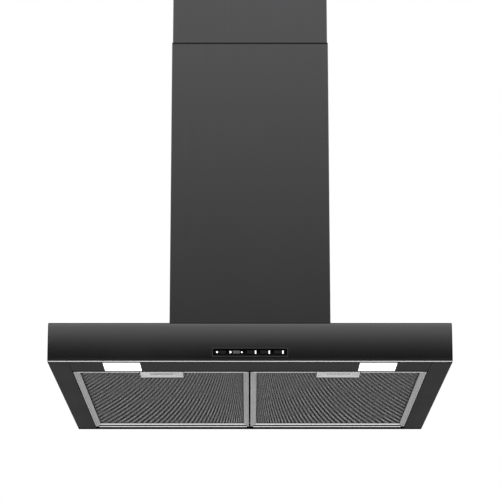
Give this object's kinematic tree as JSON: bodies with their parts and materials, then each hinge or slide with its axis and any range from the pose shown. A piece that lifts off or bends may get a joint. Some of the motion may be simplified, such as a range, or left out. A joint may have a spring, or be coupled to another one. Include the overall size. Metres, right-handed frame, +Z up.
{
  "type": "island range hood",
  "caption": "Black island range hood: shallow square canopy with twin aluminium grease filters, lamp strip and button window under a two-part square telescopic chimney hung from the ceiling.",
  "frame": {"origin": "centre of the ceiling bracket's upper face, where the hood meets the ceiling", "axes": "+Z up, +X to the right seen from the front, the control panel faces -Y"},
  "size_m": [0.598, 0.6006, 0.82],
  "materials": {
    "black_chimney": "satin",
    "black_canopy": "satin",
    "gloss_black_panel": "semi-gloss",
    "polished_steel": "polished",
    "zinc_steel": "zinc plated",
    "black_steel_screws": "blackened",
    "filter_aluminium": "brushed",
    "filter_mesh": "woven",
    "latch_metal": "satin",
    "spring_steel": "wire",
    "lamp_lens": "frosted, lit",
    "white_plastic": "matte",
    "circuit_board": "solder mask",
    "black_plastic": "moulded",
    "motor_metal": "laminated steel",
    "rubber_bush": "moulded",
    "loom": "sleeved",
    "window_black": "gloss",
    "mark_white": "gloss",
    "button_grey": "satin"
  },
  "bodies": {
    "frame": {"upper_chimney": "black_chimney", "canopy_shell": "black_canopy", "underside_frame": "black_canopy", "lamp_panel": "black_canopy", "front_fascia": "gloss_black_panel", "fascia_trim": "polished_steel", "motor_bracket": "polished_steel", "flap_pin": "polished_steel", "ceiling_bracket": "zinc_steel", "upper_uprights": "zinc_steel", "lower_uprights": "zinc_steel", "frame_base": "zinc_steel", "filter_rail": "zinc_steel", "blower_box": "zinc_steel", "chimney_screws": "black_steel_screws", "canopy_bolts": "black_steel_screws", "frame_bolts": "black_steel_screws", "blower_screws": "black_steel_screws", "lamp_lens_left": "lamp_lens", "lamp_lens_right": "lamp_lens", "lamp_housing_left": "white_plastic", "lamp_housing_right": "white_plastic", "led_driver": "white_plastic", "capacitor": "white_plastic", "terminal_block": "white_plastic", "led_board_left": "circuit_board", "led_board_right": "circuit_board", "control_board": "circuit_board", "volute_left": "black_plastic", "volute_right": "black_plastic", "outlet_adapter": "black_plastic", "power_box": "black_plastic", "power_lid": "black_plastic", "control_housing": "black_plastic", "cable_gland": "black_plastic", "motor": "motor_metal", "motor_bushes": "rubber_bush", "wiring_loom": "loom", "control_window": "window_black", "control_marks": "mark_white"},
    "lower_chimney": {"lower_chimney": "black_chimney"},
    "filter_left": {"filter_frame_left": "filter_aluminium", "filter_mesh_left": "filter_mesh", "filter_handle_left": "latch_metal", "latch_spring_left": "spring_steel"},
    "filter_right": {"filter_frame_right": "filter_aluminium", "filter_mesh_right": "filter_mesh", "filter_handle_right": "latch_metal", "latch_spring_right": "spring_steel"},
    "latch_left": {"filter_latch_left": "latch_metal"},
    "latch_right": {"filter_latch_right": "latch_metal"},
    "impeller": {"impeller": "black_plastic"},
    "flap_front": {"flap_front": "black_plastic"},
    "flap_rear": {"flap_rear": "black_plastic"},
    "button_1": {"button_1": "button_grey"},
    "button_2": {"button_2": "button_grey"},
    "button_3": {"button_3": "button_grey"},
    "button_4": {"button_4": "button_grey"},
    "button_5": {"button_5": "button_grey"}
  },
  "joints": [
    {"name": "lower_chimney_lift", "type": "slide", "parent": "frame", "child": "lower_chimney", "axis": [0, 0, 1], "range_m": [0, 0.2]},
    {"name": "filter_swing_left", "type": "hinge", "parent": "frame", "child": "filter_left", "pos_m": [0, 0.272, -0.812], "axis": [1, 0, 0], "range_deg": [0, 65]},
    {"name": "filter_latch_left", "type": "slide", "parent": "filter_left", "child": "latch_left", "axis": [0, 1, 0], "range_m": [-0.0035, 0.005], "stiffness_N_per_m": 150, "springref_m": -0.0035, "deforming": ["latch_spring_left"]},
    {"name": "filter_swing_right", "type": "hinge", "parent": "frame", "child": "filter_right", "pos_m": [0, 0.272, -0.812], "axis": [1, 0, 0], "range_deg": [0, 65]},
    {"name": "filter_latch_right", "type": "slide", "parent": "filter_right", "child": "latch_right", "axis": [0, 1, 0], "range_m": [-0.0035, 0.005], "stiffness_N_per_m": 150, "springref_m": -0.0035, "deforming": ["latch_spring_right"]},
    {"name": "impeller_spin", "type": "hinge", "parent": "frame", "child": "impeller", "pos_m": [0, -0.00993, -0.63157], "axis": [1, 0, 0], "continuous": true},
    {"name": "flap_front_swing", "type": "hinge", "parent": "frame", "child": "flap_front", "pos_m": [0, 0, -0.45], "axis": [-1, 0, 0], "range_deg": [0, 75]},
    {"name": "flap_rear_swing", "type": "hinge", "parent": "frame", "child": "flap_rear", "pos_m": [0, 0, -0.45], "axis": [1, 0, 0], "range_deg": [0, 75]},
    {"name": "button_1_press", "type": "slide", "parent": "frame", "child": "button_1", "axis": [0, 1, 0], "range_m": [0, 0.0015], "stiffness_N_per_m": 300},
    {"name": "button_2_press", "type": "slide", "parent": "frame", "child": "button_2", "axis": [0, 1, 0], "range_m": [0, 0.0015], "stiffness_N_per_m": 300},
    {"name": "button_3_press", "type": "slide", "parent": "frame", "child": "button_3", "axis": [0, 1, 0], "range_m": [0, 0.0015], "stiffness_N_per_m": 300},
    {"name": "button_4_press", "type": "slide", "parent": "frame", "child": "button_4", "axis": [0, 1, 0], "range_m": [0, 0.0015], "stiffness_N_per_m": 300},
    {"name": "button_5_press", "type": "slide", "parent": "frame", "child": "button_5", "axis": [0, 1, 0], "range_m": [0, 0.0015], "stiffness_N_per_m": 300}
  ]
}
